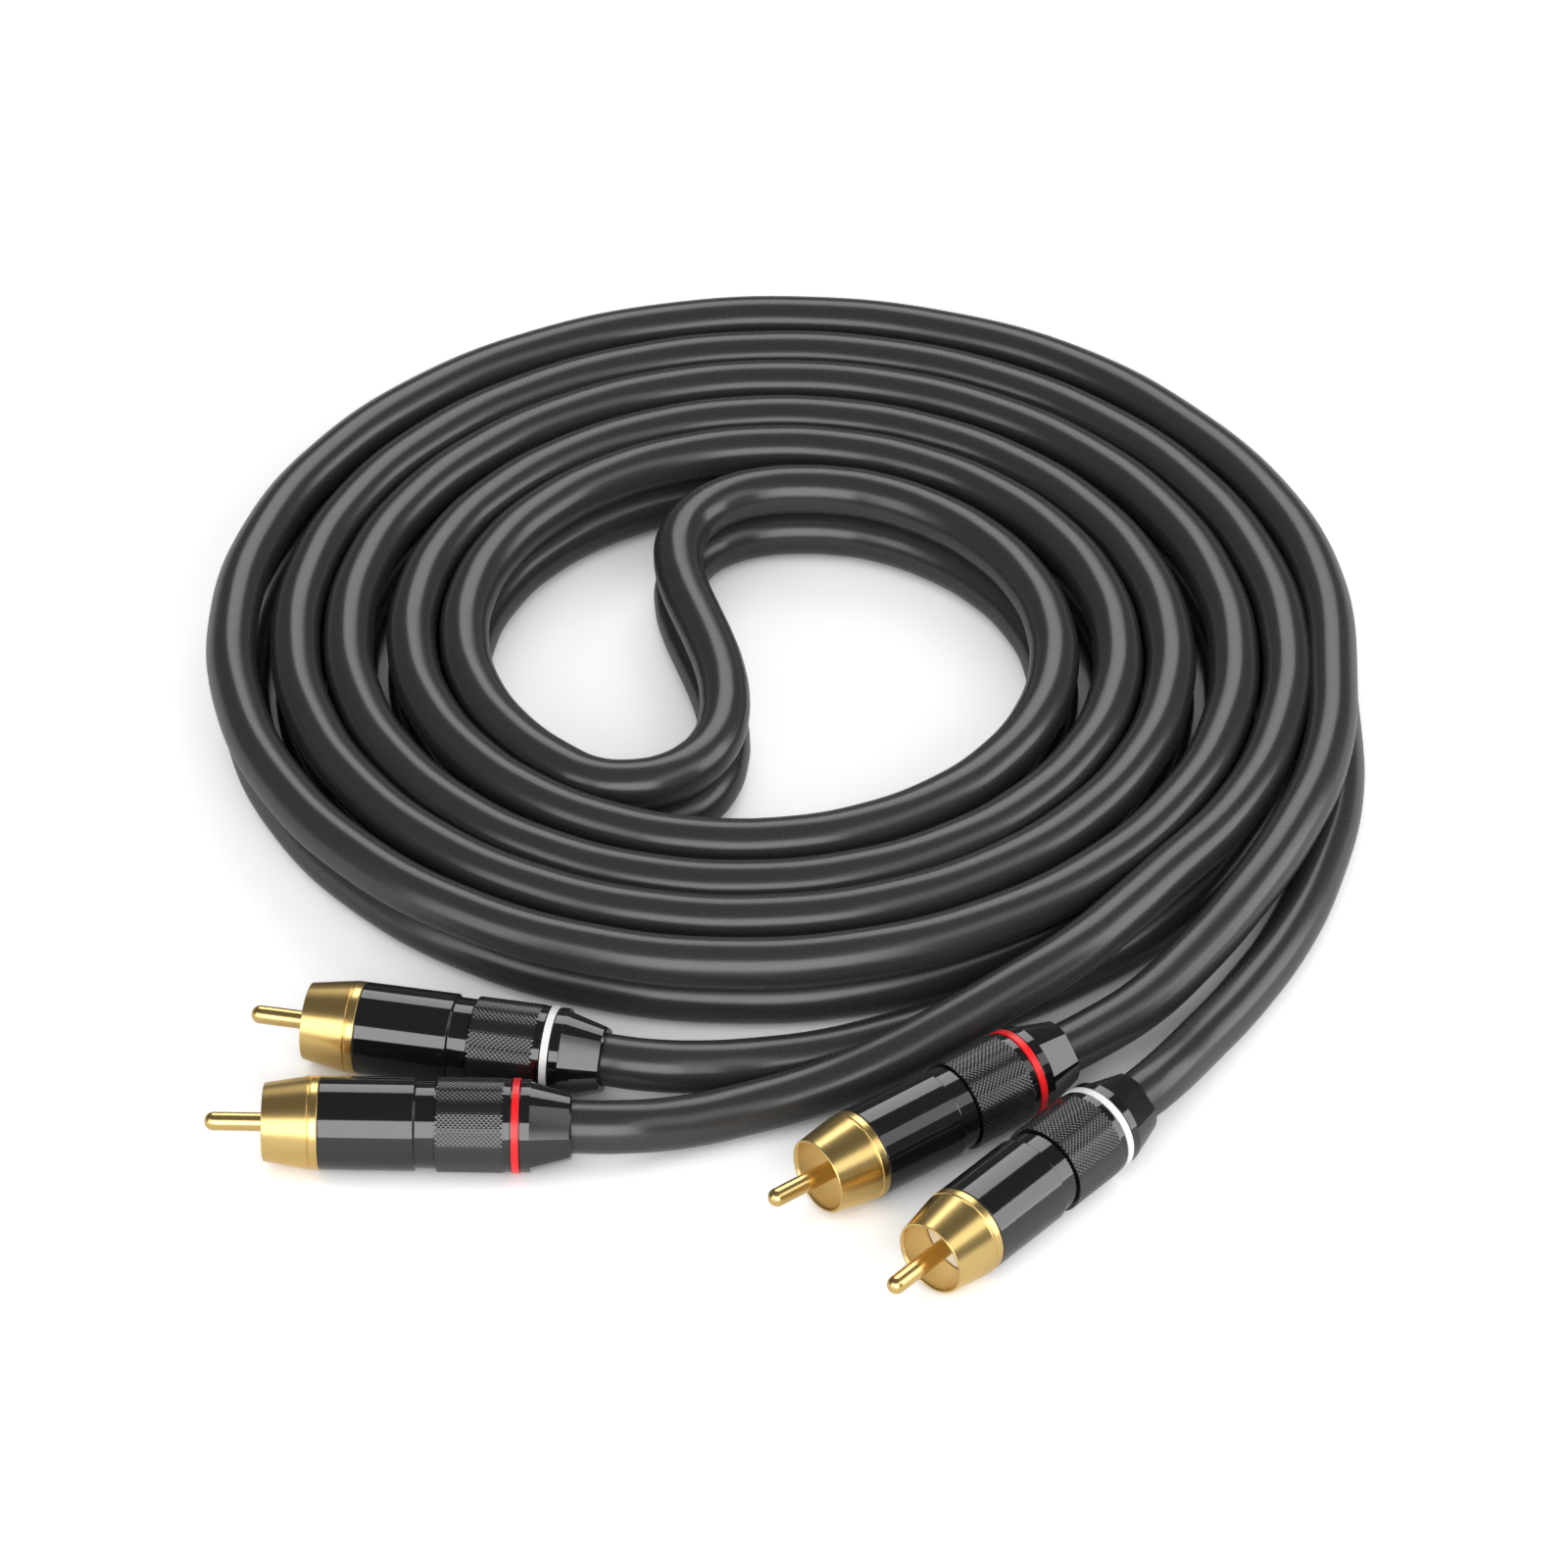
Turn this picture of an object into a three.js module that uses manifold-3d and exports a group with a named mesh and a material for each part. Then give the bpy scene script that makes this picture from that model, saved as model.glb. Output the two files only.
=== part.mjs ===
// Stereo audio cable: two round cords laid one above the other, wound as a flat double spiral with an
// S-shaped turn in the middle, and a phono plug on each of the four ends. Millimetres, +Z up.
// The origin lies on the table, in the middle of the four plugs.
import * as THREE from "three";
import { mergeVertices } from "three/addons/utils/BufferGeometryUtils.js";
import Module from "manifold-3d";

const wasm = await Module();
wasm.setup();

// Cords
const cordDiameter = 8.0;
const cordGap = 0.3; // between the lower and the upper jacket
const lift = 0.1; // of a loose cord above the table
const cordSides = 10;
const middleStep = 10; // between two sections of the S-shaped turn
const tailStep = 16; // between two sections of a tail
const straightExit = 6; // of each cord where it leaves its plug

// Coil, as the ring that its turns fill
const coilInnerRadius = 42;
const coilOuterRadius = 84.5;
const coilTurns = 5;
const coilOffset = [2.5, 4.0]; // of the ring's centre from the spiral's centre
const coilSides = 36;

// Centre pin
const pinDiameter = 2.8;
const pinReach = 8.9; // from the pin's tip to the shell's rim
const pinCupDiameter = 4.0;
const pinCupLength = 5.0;
const pinCupBore = 2.4;
const pinCupDepth = 3.6;

// Ground shell: an open cup in front and a threaded tail behind
const shellLength = 8.4;
const shellMouthDiameter = 11.7;
const shellWall = 0.65;
const shellCupDepth = 6.9;
const beadWidth = 1.4;
const beadGroove = 0.2;
const shellTailDiameter = 11.2;
const shellTailLength = 4.1;
const shellBore = 9.8;
const insulatorFlange = 0.5; // thickness of the insulator's flange, on the floor of the cup

// Barrel with its neck, and the spigot that the rear cap screws onto
const barrelDiameter = 14.0;
const barrelLength = 14.2;
const barrelBore = 10.8;
const neckDepth = 0.45; // of the neck below the barrel, all round
const neckLength = 3.0;
const spigotDiameter = 12.1;
const spigotLength = 3.3;

// Ground sleeve inside the barrel, as long as the room ahead of the cord clamp
const sleeveWall = 0.7;

// Rear cap: knurled grip, two plain bands, the colour ring's groove and a tapered tail with flats
const knurlRise = 0.075; // of the knurl above the barrel, all round
const knurlLength = 10.5;
const bandDepth = 0.05; // of the plain bands below the barrel, all round
const frontBandWidth = 1.0;
const rearBandWidth = 1.6;
const taperLength = 6.1;
const tailDiameter = 10.5;
const tailFlats = 4; // each halfway between the top and a side
const flatDepth = 0.5; // of a flat below the cone, at its middle
const capBore = 11.2;

// Colour ring
const ringRise = 0.1; // above the barrel, all round
const ringWidth = 1.1;
const ringThickness = 0.6;

// Cord clamp, a split ring round the jacket
const clampLength = 4.65;
const clampWall = 1.0;
const clampSlot = 1.2;

// Stripped cord end inside the plug
const coreDiameter = 3.4;
const conductorDiameter = 1.8;
const conductorLength = 4.0;

// Clearances
const fit = 0.3; // between two turned pieces, one in the other
const seat = 0.3; // between two faces that meet
const ringSeat = 0.15; // on each side of the colour ring in its groove

const plugSides = 20;
const smallSides = 12;

// Each plug: where its pin's tip lies, seen from the spiral's centre, and the bearing of its tail
const plugs = [
  { name: "left_white", colour: 0xf4f4f2, tip: [-76.8, -84.8], bearing: -12 },
  { name: "left_red", colour: 0xe0202a, tip: [-82.6, -109.6], bearing: -1.9 },
  { name: "right_red", colour: 0xe0202a, tip: [1.6, -128.1], bearing: 38 },
  { name: "right_white", colour: 0xf4f4f2, tip: [18.9, -147.1], bearing: 48.5 },
];

const cordRadius = cordDiameter / 2;
const lowerHeight = cordRadius + lift;
const upperHeight = lowerHeight + cordDiameter + cordGap;
const barrelRadius = barrelDiameter / 2;
const neckRadius = barrelRadius - neckDepth;
const knurlRadius = barrelRadius + knurlRise;
const bandRadius = barrelRadius - bandDepth;
const ringRadius = barrelRadius + ringRise;
const plugHeight = ringRadius; // the plugs lie on their colour rings

// The S-shaped turn in the middle, seen from the spiral's centre
const middleRoute = [
  [7.4, 41.0], [0.4, 40.4], [-5.8, 37.9], [-10.6, 33.3], [-13.2, 27.0], [-13.4, 20.2],
  [-12.2, 13.4], [-10.2, 6.4], [-8.2, -0.4], [-6.6, -7.2], [-5.8, -14.0], [-6.0, -20.8],
  [-7.4, -26.6], [-10.4, -31.6],
];

// The tails, from the coil to the plug, as distance right and back of the spiral's centre and height
const tailRoutes = {
  left_white: [
    [46.2, -73.2, 4.1], [38.2, -78.4, 4.1], [29.0, -83.4, 4.1], [19.4, -88.0, 4.1],
    [9.6, -91.6, 4.1], [-0.4, -94.0, 4.5], [-8.6, -96.2, 5.8],
  ],
  left_red: [
    [56.7, -66.2, 12.4], [47.2, -77.4, 12.2], [37.6, -84.9, 11.0], [28.4, -90.9, 9.2],
    [18.6, -96.3, 7.1], [8.4, -100.6, 5.2], [-2.2, -104.5, 4.6], [-12.4, -108.8, 5.6],
  ],
  right_red: [
    [90.6, -9.0, 12.4], [88.3, -29.6, 12.4], [82.0, -47.9, 12.0], [73.2, -64.0, 10.6],
    [65.6, -74.6, 8.9], [57.6, -83.9, 7.6],
  ],
  right_white: [
    [91.4, -9.0, 4.1], [90.6, -30.2, 4.1], [86.7, -47.5, 4.1], [81.4, -62.7, 4.1],
    [74.0, -77.2, 4.3], [66.4, -89.9, 5.4],
  ],
};

const finishes = {
  gold: new THREE.MeshStandardMaterial({ color: 0xd9b45a, roughness: 0.25, metalness: 1.0 }),
  brass: new THREE.MeshStandardMaterial({ color: 0xb5964a, roughness: 0.4, metalness: 1.0 }),
  black: new THREE.MeshStandardMaterial({ color: 0x17171a, roughness: 0.18, metalness: 0.6 }),
  knurl: new THREE.MeshStandardMaterial({ color: 0x3a3a3e, roughness: 0.4, metalness: 0.7 }),
  jacket: new THREE.MeshStandardMaterial({ color: 0x3a3a3a, roughness: 0.4, metalness: 0.0 }),
  insulator: new THREE.MeshStandardMaterial({ color: 0xf2f0ea, roughness: 0.5, metalness: 0.0 }),
};

// Distances along a plug, from the tip of its pin
const rim = pinReach;
const shellRear = rim + shellLength;
const shellTailEnd = shellRear + shellTailLength;
const cupFloor = rim + shellCupDepth;
const neckStart = shellRear + barrelLength;
const capFront = neckStart + neckLength;
const spigotEnd = capFront + spigotLength;
const bandStart = capFront + knurlLength;
const ringStart = bandStart + frontBandWidth;
const ringEnd = ringStart + ringWidth;
const taperStart = ringEnd + rearBandWidth;
const tailEnd = taperStart + taperLength;
const clampEnd = taperStart - seat;
const clampStart = clampEnd - clampLength;
const sleeveStart = shellTailEnd + seat;
const sleeveEnd = clampStart - seat;

// A turned piece about the X axis, from its outline as [distance along, radius] pairs
function turned(outline, sides) {
  const points = outline.map(([along, radius]) => new THREE.Vector2(radius, along));
  return new THREE.LatheGeometry(points, sides).rotateZ(-Math.PI / 2);
}

// The same for a hollow piece, whose outline runs back to where it began
function turnedHollow(outline, sides) {
  return turned([...outline, outline[0]], sides);
}

function toSolid(geometry) {
  const bare = geometry.clone();
  bare.deleteAttribute("normal");
  bare.deleteAttribute("uv");
  const merged = mergeVertices(bare, 1e-4);
  return new wasm.Manifold(
    new wasm.Mesh({
      numProp: 3,
      vertProperties: merged.attributes.position.array,
      triVerts: new Uint32Array(merged.index.array),
    }),
  );
}

function toGeometry(solid) {
  const mesh = solid.getMesh();
  return new THREE.BufferGeometry()
    .setAttribute("position", new THREE.BufferAttribute(mesh.vertProperties, 3))
    .setIndex(new THREE.BufferAttribute(mesh.triVerts, 1));
}

// Points of an arc, as [across, up] pairs
function arc([across, up], radius, fromDegrees, toDegrees, pieces) {
  return Array.from({ length: pieces + 1 }, (_, i) => {
    const turn = THREE.MathUtils.degToRad(fromDegrees + ((toDegrees - fromDegrees) * i) / pieces);
    return [across + radius * Math.cos(turn), up + radius * Math.sin(turn)];
  });
}

function centrePin() {
  const radius = pinDiameter / 2;
  const cupStart = shellTailEnd + seat;
  const cupEnd = cupStart + pinCupLength;
  return turned(
    [
      ...arc([radius, 0], radius, 180, 90, 4),
      [cupStart, radius],
      [cupStart, pinCupDiameter / 2],
      [cupEnd, pinCupDiameter / 2],
      [cupEnd, pinCupBore / 2],
      [cupEnd - pinCupDepth, pinCupBore / 2],
      [cupEnd - pinCupDepth, 0],
    ],
    smallSides,
  );
}

// A tube in the shell's bore with a flange in front, which the pin passes through
function insulator() {
  const bore = pinDiameter / 2 + fit;
  const outside = shellBore / 2 - fit;
  const flangeEnd = cupFloor - seat;
  const flangeStart = flangeEnd - insulatorFlange;
  const flangeRadius = shellInside(flangeStart) - fit;
  return turnedHollow(
    [
      [flangeStart, bore],
      [flangeStart, flangeRadius],
      [flangeEnd, flangeRadius],
      [flangeEnd, outside],
      [shellTailEnd, outside],
      [shellTailEnd, bore],
    ],
    smallSides,
  );
}

// Radius of the cup's tapered inside, some way along the plug
function shellInside(reach) {
  const atRim = shellMouthDiameter / 2 - shellWall;
  const atFloor = barrelRadius - beadGroove - shellWall;
  return THREE.MathUtils.mapLinear(reach, rim, cupFloor, atRim, atFloor);
}

function groundShell() {
  const mouth = shellMouthDiameter / 2;
  const beadStart = shellRear - beadWidth;
  const grooveRadius = barrelRadius - beadGroove;
  return turnedHollow(
    [
      [rim, mouth],
      [beadStart, grooveRadius],
      [beadStart + beadGroove, barrelRadius],
      [shellRear, barrelRadius],
      [shellRear, shellTailDiameter / 2],
      [shellTailEnd, shellTailDiameter / 2],
      [shellTailEnd, shellBore / 2],
      [cupFloor, shellBore / 2],
      [cupFloor, shellInside(cupFloor)],
      [rim, shellInside(rim)],
    ],
    plugSides,
  );
}

function barrel() {
  const front = shellRear + seat;
  const frontBore = shellTailDiameter / 2 + fit;
  const frontBoreEnd = shellTailEnd + seat;
  return turnedHollow(
    [
      [front, barrelRadius],
      [neckStart, barrelRadius],
      [neckStart, neckRadius],
      [capFront, neckRadius],
      [capFront, spigotDiameter / 2],
      [spigotEnd, spigotDiameter / 2],
      [spigotEnd, barrelBore / 2],
      [frontBoreEnd, barrelBore / 2],
      [frontBoreEnd, frontBore],
      [front, frontBore],
    ],
    plugSides,
  );
}

function groundSleeve() {
  const outside = barrelBore / 2 - fit;
  const inside = outside - sleeveWall;
  return turnedHollow(
    [[sleeveStart, inside], [sleeveStart, outside], [sleeveEnd, outside], [sleeveEnd, inside]],
    smallSides,
  );
}

function rearCap() {
  const front = capFront + seat;
  const groove = ringRadius - ringThickness - fit;
  const recess = spigotDiameter / 2 + fit;
  const cordHole = cordRadius + fit;
  const body = turnedHollow(
    [
      [front, knurlRadius],
      [bandStart, knurlRadius],
      [bandStart, bandRadius],
      [ringStart - ringSeat, bandRadius],
      [ringStart - ringSeat, groove],
      [ringEnd + ringSeat, groove],
      [ringEnd + ringSeat, bandRadius],
      [taperStart, bandRadius],
      [tailEnd, tailDiameter / 2],
      [tailEnd, cordHole],
      [taperStart, cordHole],
      [taperStart, capBore / 2],
      [spigotEnd + seat, capBore / 2],
      [spigotEnd + seat, recess],
      [front, recess],
    ],
    plugSides,
  );
  // A pyramid with one side for each flat, wide open ahead of the taper
  const corner = 1 / Math.cos(Math.PI / tailFlats);
  const wide = barrelDiameter;
  const flats = turned(
    [
      [rim, 0],
      [rim, wide],
      [taperStart, wide],
      [taperStart, (bandRadius - flatDepth) * corner],
      [tailEnd + seat, (tailDiameter / 2 - flatDepth) * corner],
      [tailEnd + seat, 0],
    ],
    tailFlats,
  );
  return toGeometry(toSolid(body).intersect(toSolid(flats)));
}

function colourRing() {
  const inside = ringRadius - ringThickness;
  return turnedHollow(
    [[ringStart, inside], [ringStart, ringRadius], [ringEnd, ringRadius], [ringEnd, inside]],
    plugSides,
  );
}

function cordClamp() {
  const inside = cordRadius + fit;
  const outside = inside + clampWall;
  const ring = turnedHollow(
    [[clampStart, inside], [clampStart, outside], [clampEnd, outside], [clampEnd, inside]],
    smallSides,
  );
  const slot = new THREE.BoxGeometry(2 * clampLength, outside, clampSlot);
  slot.translate((clampStart + clampEnd) / 2, -outside, 0);
  return toGeometry(toSolid(ring).subtract(toSolid(slot)));
}

// The jacket as far as the clamp, then the bare core, then the conductor in the pin's cup
function cordEnd() {
  const conductorStart = sleeveStart + pinCupLength - pinCupDepth + seat;
  const coreStart = conductorStart + conductorLength;
  return turned(
    [
      [conductorStart, 0],
      [conductorStart, conductorDiameter / 2],
      [coreStart, conductorDiameter / 2],
      [coreStart, coreDiameter / 2],
      [clampStart, coreDiameter / 2],
      [clampStart, cordRadius],
      [tailEnd, cordRadius],
      [tailEnd, 0],
    ],
    smallSides,
  );
}

function piece(name, geometry, finish) {
  const mesh = new THREE.Mesh(geometry, finish);
  mesh.name = name;
  return mesh;
}

function makePlug({ name, colour, tip, bearing }) {
  const ringFinish = new THREE.MeshStandardMaterial({ color: colour, roughness: 0.35 });
  const plug = new THREE.Group();
  plug.add(
    piece(`${name}_centre_pin`, centrePin(), finishes.gold),
    piece(`${name}_insulator`, insulator(), finishes.insulator),
    piece(`${name}_ground_shell`, groundShell(), finishes.gold),
    piece(`${name}_ground_sleeve`, groundSleeve(), finishes.brass),
    piece(`${name}_barrel`, barrel(), finishes.black),
    piece(`${name}_rear_cap`, rearCap(), finishes.knurl),
    piece(`${name}_colour_ring`, colourRing(), ringFinish),
    piece(`${name}_cord_clamp`, cordClamp(), finishes.brass),
    piece(`${name}_cord_end`, cordEnd(), finishes.jacket),
  );
  plug.position.set(tip[0], tip[1], plugHeight);
  plug.rotation.z = THREE.MathUtils.degToRad(bearing);
  return plug;
}

// The ring that the turns fill, with one ridge for each turn and two bulges down each side
function coilSolid() {
  const outer = coilOuterRadius - cordRadius;
  const inner = coilInnerRadius + cordRadius;
  const pitch = (outer - inner) / (coilTurns - 1);
  const outline = [
    ...arc([outer, cordRadius], cordRadius, -90, 45, 3),
    ...arc([outer, upperHeight], cordRadius, -45, 90, 3),
    ...arc([outer, upperHeight], cordRadius, 120, 180, 1),
  ];
  for (let turn = coilTurns - 2; turn > 0; turn -= 1) {
    outline.push(...arc([inner + turn * pitch, upperHeight], cordRadius, 0, 180, 3));
  }
  outline.push(
    ...arc([inner, upperHeight], cordRadius, 0, 60, 1),
    ...arc([inner, upperHeight], cordRadius, 90, 225, 3),
    ...arc([inner, cordRadius], cordRadius, 135, 270, 3),
  );
  outline.push(outline[0]);
  const points = outline.map(([radius, height]) => new THREE.Vector2(radius, height));
  return new THREE.LatheGeometry(points, coilSides).rotateX(Math.PI / 2);
}

// A round cord along its route
function cordTube(route, step) {
  const path = new THREE.CatmullRomCurve3(route.map((point) => new THREE.Vector3(...point)));
  const section = new THREE.Shape(
    Array.from({ length: cordSides }, (_, i) => {
      const turn = (2 * Math.PI * i) / cordSides;
      return new THREE.Vector2(cordRadius * Math.cos(turn), cordRadius * Math.sin(turn));
    }),
  );
  return new THREE.ExtrudeGeometry(section, {
    steps: Math.round(path.getLength() / step),
    bevelEnabled: false,
    extrudePath: path,
  });
}

// The tail of one plug's cord, up to the plug's own end face
function tailTube({ name, tip, bearing }) {
  const turn = THREE.MathUtils.degToRad(bearing);
  const onAxis = (reach) => [
    tip[0] + reach * Math.cos(turn),
    tip[1] + reach * Math.sin(turn),
    plugHeight,
  ];
  const end = onAxis(tailEnd + seat);
  const exit = onAxis(tailEnd + seat + straightExit);
  return cordTube([...tailRoutes[name], exit, end], tailStep);
}

const cable = new THREE.Group();
const plugGroup = new THREE.Group();
plugs.forEach((plug) => plugGroup.add(makePlug(plug)));

const coil = piece("coil", coilSolid(), finishes.jacket);
coil.position.set(...coilOffset, 0);
cable.add(plugGroup, coil);
for (const [name, height] of [["middle_lower", lowerHeight], ["middle_upper", upperHeight]]) {
  const route = middleRoute.map(([right, back]) => [right, back, height]);
  cable.add(piece(`${name}_cord`, cordTube(route, middleStep), finishes.jacket));
}
plugs.forEach((plug) => {
  cable.add(piece(`${plug.name}_tail_cord`, tailTube(plug), finishes.jacket));
});

// Bring the middle of the plugs to the origin
const middle = new THREE.Box3().setFromObject(plugGroup, true).getCenter(new THREE.Vector3());
cable.position.set(-middle.x, -middle.y, 0);

export default cable;
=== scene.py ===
"""A stereo audio cable on a pale table: two round cords, one above the other, wound as a flat
double spiral, with a phono plug on each of the four ends. An add-on's layout, run as a script."""

import math

import bmesh
import bpy
from bpy.props import FloatProperty, FloatVectorProperty, IntProperty, PointerProperty
from mathutils import Matrix, Vector


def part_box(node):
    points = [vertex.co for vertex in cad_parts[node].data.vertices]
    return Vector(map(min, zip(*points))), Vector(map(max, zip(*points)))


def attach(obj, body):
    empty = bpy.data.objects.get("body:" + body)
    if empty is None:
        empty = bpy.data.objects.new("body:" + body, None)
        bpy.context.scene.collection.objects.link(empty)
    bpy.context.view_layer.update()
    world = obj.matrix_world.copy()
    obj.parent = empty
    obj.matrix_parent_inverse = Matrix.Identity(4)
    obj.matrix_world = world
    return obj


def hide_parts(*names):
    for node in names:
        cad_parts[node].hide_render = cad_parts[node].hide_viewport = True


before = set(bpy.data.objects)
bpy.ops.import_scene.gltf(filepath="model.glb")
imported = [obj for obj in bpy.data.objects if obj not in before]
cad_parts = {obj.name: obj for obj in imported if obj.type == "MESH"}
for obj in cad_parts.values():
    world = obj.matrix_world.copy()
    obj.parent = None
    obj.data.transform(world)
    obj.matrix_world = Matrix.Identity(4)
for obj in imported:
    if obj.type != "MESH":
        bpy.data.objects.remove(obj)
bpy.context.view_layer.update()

bl_info = {
    "name": "Stereo audio cable",
    "version": (1, 0, 0),
    "blender": (4, 5, 0),
    "location": "3D View > Sidebar > Audio Cable",
    "description": "Coiled stereo cable with four phono plugs, set on a pale table",
    "category": "Object",
}

MM = 0.001

# The four plugs, by the side that they lie on and the colour of their ring
PLUGS = ("left_white", "left_red", "right_red", "right_white")

# The two cords: their height, the plugs at their two ends, and what they show besides the tails
CORDS = {
    "lower_cord": ("lower", "right_white", "left_white", ["middle_lower_cord"]),
    "upper_cord": ("upper", "right_red", "left_red", ["coil", "middle_upper_cord"]),
}

# The middle of the coil's ring, in mm right and back of the spiral's centre
COIL_OFFSET = (2.5, 4.0)

# The S-shaped turn in the middle, in mm right and back of the spiral's centre
MIDDLE_ROUTE = [
    (12.2, 40.6), (7.4, 41.0), (0.4, 40.4), (-5.8, 37.9), (-10.6, 33.3), (-13.2, 27.0),
    (-13.4, 20.2), (-12.2, 13.4), (-10.2, 6.4), (-8.2, -0.4), (-6.6, -7.2), (-5.8, -14.0),
    (-6.0, -20.8), (-7.4, -26.6), (-10.4, -31.6), (-14.6, -35.0), (-20.2, -36.6), (-26.0, -35.9),
]

# Each spiral arm: its radius at angle 0, where it leaves the S-turn and where it ends, in degrees
LEFT_ARM = (46.53, 65, -765)
RIGHT_ARM = (56.69, 226, -665)
ARM_STEP = 15
# What an arm's radius grows by in each turn, in mm
SPIRAL_PITCH = 18.55

# The lower cord's turns lean inwards under the upper cord's, most on this bearing and more on each
# turn outwards: in mm, times the square of the turns that an arm has made from where its lean
# starts. On the left arm it ends again where the arm runs out into its tails. Angles in degrees.
LEAN = 0.55
LEAN_BEARING = 250
LEAN_STARTS = {LEFT_ARM: -134, RIGHT_ARM: 226}
LEAN_ENDS = (-720, -765)

# From the end of the right arm to the start of the right tails
RIGHT_LEAD = [(70.5, 57.1), (83.3, 37.1), (89.9, 15.9)]

# The tails, from the coil to the plug, as mm right and back of the spiral's centre and height
TAIL_ROUTES = {
    "left_white": [
        (46.2, -73.2, 4.1), (38.2, -78.4, 4.1), (29.0, -83.4, 4.1), (19.4, -88.0, 4.1),
        (9.6, -91.6, 4.1), (-0.4, -94.0, 4.5), (-8.6, -96.2, 5.8),
    ],
    "left_red": [
        (56.7, -66.2, 12.4), (47.2, -77.4, 12.2), (37.6, -84.9, 11.0), (28.4, -90.9, 9.2),
        (18.6, -96.3, 7.1), (8.4, -100.6, 5.2), (-2.2, -104.5, 4.6), (-12.4, -108.8, 5.6),
    ],
    "right_red": [
        (90.6, -9.0, 12.4), (88.3, -29.6, 12.4), (82.0, -47.9, 12.0), (73.2, -64.0, 10.6),
        (65.6, -74.6, 8.9), (57.6, -83.9, 7.6),
    ],
    "right_white": [
        (91.4, -9.0, 4.1), (90.6, -30.2, 4.1), (86.7, -47.5, 4.1), (81.4, -62.7, 4.1),
        (74.0, -77.2, 4.3), (66.4, -89.9, 5.4),
    ],
}

# A ring of points nearer to a plug's axis than this is one point, in metres
ON_AXIS = 1e-7

# The black lacquer mirrors a little more than plain plastic does
LACQUER_IOR = 1.75

# What the camera looks at on the table, in mm right and back of the spiral's centre
VIEW_OFFSET = (3.6, -20.9)

# In metres
TABLE_RADIUS = 4.0

# The soft boxes, each the same distance from what the camera looks at: degrees round it from the
# camera's side, degrees above the table, width and height in metres, and radiance
SOFT_BOX_DISTANCE = 1.6
SOFT_BOXES = {
    "front_soft_box": (0, 25, 1.66, 1.2, 3.7),
    "back_soft_box": (175, 45.5, 1.1, 0.85, 2.6),
    "right_soft_box": (95, 17.5, 1.0, 1.0, 2.9),
    "upper_right_soft_box": (62, 43, 1.2, 0.68, 1.25),
    "left_soft_box": (-52, 22, 0.7, 1.1, 2.6),
}


def to_linear(hex_colour):
    """A linear RGB colour from an sRGB hex value such as #3a3a3a."""
    shares = [int(hex_colour[i : i + 2], 16) / 255 for i in (1, 3, 5)]
    return [s / 12.92 if s <= 0.04045 else ((s + 0.055) / 1.055) ** 2.4 for s in shares]


def size(name, description, millimetres):
    """A length that a user may change."""
    default = millimetres * MM
    return FloatProperty(name=name, description=description, default=default, unit="LENGTH")


def count(name, description, default):
    """A number of like features that a user may change."""
    return IntProperty(name=name, description=description, default=default)


def colour(name, description, hex_colour):
    """A colour that a user may change."""
    return FloatVectorProperty(
        name=name,
        description=description,
        default=to_linear(hex_colour),
        subtype="COLOR",
        size=3,
        min=0,
        max=1,
    )


class CordSettings(bpy.types.PropertyGroup):
    """Sizes and colours of the two cords."""

    diameter: size("Diameter", "Across the jacket", 8.0)
    gap: size("Gap", "Between the lower and the upper jacket", 0.3)
    lift: size("Lift", "Of the lower cord above the table", 0.1)
    straight_exit: size("Straight exit", "Of the cord where it leaves its plug", 6.0)
    jacket: colour("Jacket", "Charcoal black of the jacket", "#303031")
    core_diameter: size("Core diameter", "Of the insulated core under the jacket", 3.4)
    conductor_diameter: size("Conductor diameter", "Of the stranded copper", 1.8)
    conductor_length: size("Conductor length", "Bare, in the pin's cup", 4.0)


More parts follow.
